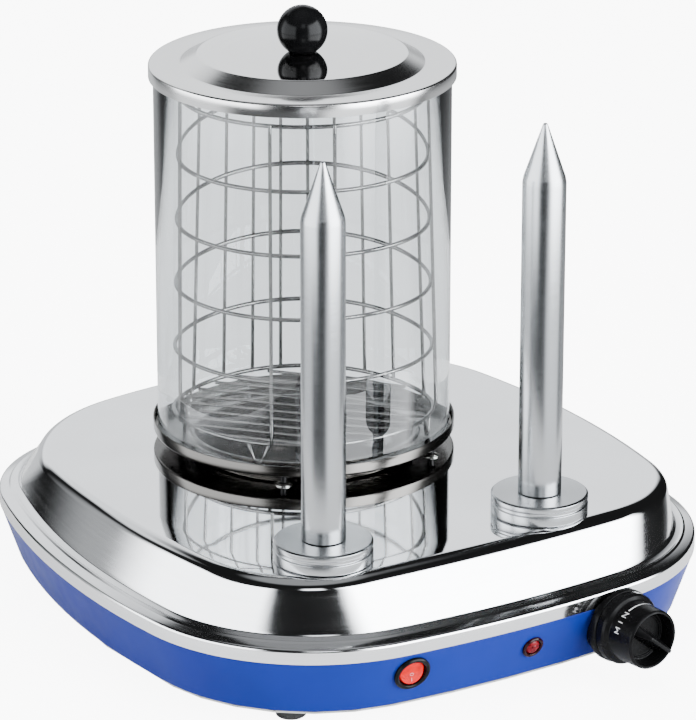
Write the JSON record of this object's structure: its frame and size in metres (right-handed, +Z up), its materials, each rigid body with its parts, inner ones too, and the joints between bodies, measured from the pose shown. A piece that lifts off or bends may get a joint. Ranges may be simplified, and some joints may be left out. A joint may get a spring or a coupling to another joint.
{
  "type": "hot dog steamer",
  "caption": "Countertop hot dog steamer: lidded glass cylinder with a wire basket over a steam pan, heated bun spikes and a front control panel on a low enamelled base.",
  "frame": {"origin": "on the table under the middle of the footprint, at the height of the feet's undersides", "axes": "+Z up, -Y towards the control panel, +X to the right when facing the panel"},
  "size_m": [0.4066, 0.476, 0.391],
  "materials": {
    "blue_enamel": "gloss powder enamel",
    "polished_steel": "mirror polished",
    "satin_steel": "fine satin",
    "wire_steel": "bright drawn wire",
    "turned_aluminium": "fine turned",
    "zinc_plate": "zinc plated",
    "clear_glass": "clear",
    "black_plastic": "gloss",
    "black_rubber": "matte",
    "red_plastic": "translucent gloss",
    "dark_red_lens": "translucent gloss",
    "brass": "plain",
    "white_nylon": "moulded",
    "wire_sleeve": "braided sleeve"
  },
  "bodies": {
    "base": {"base_body": "blue_enamel", "bottom_plate": "zinc_plate", "bracket_screw": "zinc_plate", "cable_gland": "black_plastic", "cover_post_front_left": "zinc_plate", "cover_post_front_right": "zinc_plate", "cover_post_rear_left": "zinc_plate", "cover_post_rear_right": "zinc_plate", "earth_stud": "brass", "foot_front_left": "black_rubber", "foot_front_right": "black_rubber", "foot_rear_left": "black_rubber", "foot_rear_right": "black_rubber", "foot_screw_front_left": "zinc_plate", "foot_screw_front_right": "zinc_plate", "foot_screw_rear_left": "zinc_plate", "foot_screw_rear_right": "zinc_plate", "gland_nut": "black_plastic", "heater_bracket": "zinc_plate", "lamp_housing": "black_plastic", "lamp_lens": "dark_red_lens", "lamp_neon": "clear_glass", "pan_heater": "satin_steel", "pan_stud_1": "zinc_plate", "pan_stud_2": "zinc_plate", "pan_stud_3": "zinc_plate", "pan_stud_4": "zinc_plate", "spike_disc_left": "turned_aluminium", "spike_disc_right": "turned_aluminium", "spike_heater_left": "zinc_plate", "spike_heater_right": "zinc_plate", "spike_left": "turned_aluminium", "spike_nut_left": "zinc_plate", "spike_nut_right": "zinc_plate", "spike_right": "turned_aluminium", "steam_pan": "satin_steel", "switch_housing": "black_plastic", "terminal_block": "white_nylon", "thermal_cut_out": "black_plastic", "thermostat_bezel": "black_plastic", "thermostat_body": "white_nylon", "top_cover": "polished_steel", "wire_spike_left": "wire_sleeve", "wire_spike_right": "wire_sleeve", "wire_supply_switch": "wire_sleeve", "wire_switch_thermostat": "wire_sleeve", "wire_thermostat_pan_heater": "wire_sleeve"},
    "glass": {"glass_cylinder": "clear_glass"},
    "lid": {"lid": "satin_steel", "lid_knob": "black_plastic", "lid_screw": "zinc_plate", "lid_washer": "zinc_plate"},
    "basket": {"basket": "wire_steel"},
    "knob": {"thermostat_knob": "black_plastic", "thermostat_shaft": "zinc_plate"},
    "rocker": {"switch_rocker": "red_plastic"}
  },
  "joints": [
    {"name": "glass_lift", "type": "slide", "parent": "base", "child": "glass", "axis": [0, 0, 1], "range_m": [0, 0.26]},
    {"name": "lid_lift", "type": "slide", "parent": "glass", "child": "lid", "axis": [0, 0, 1], "range_m": [0, 0.35]},
    {"name": "basket_lift", "type": "slide", "parent": "base", "child": "basket", "axis": [0, 0, 1], "range_m": [0, 0.2625]},
    {"name": "knob_turn", "type": "hinge", "parent": "base", "child": "knob", "pos_m": [0.075, -0.20198, 0.0342], "axis": [-0.0898, 0.996, 0], "range_deg": [0, 270]},
    {"name": "rocker_tilt", "type": "hinge", "parent": "base", "child": "rocker", "pos_m": [-0.07674, -0.19326, 0.03536], "axis": [0.9957, -0.0922, 0], "range_deg": [0, 16]}
  ],
  "couplings": [
    {"joint": "basket_lift", "follows": "lid_lift", "ratio": 0.75}
  ]
}
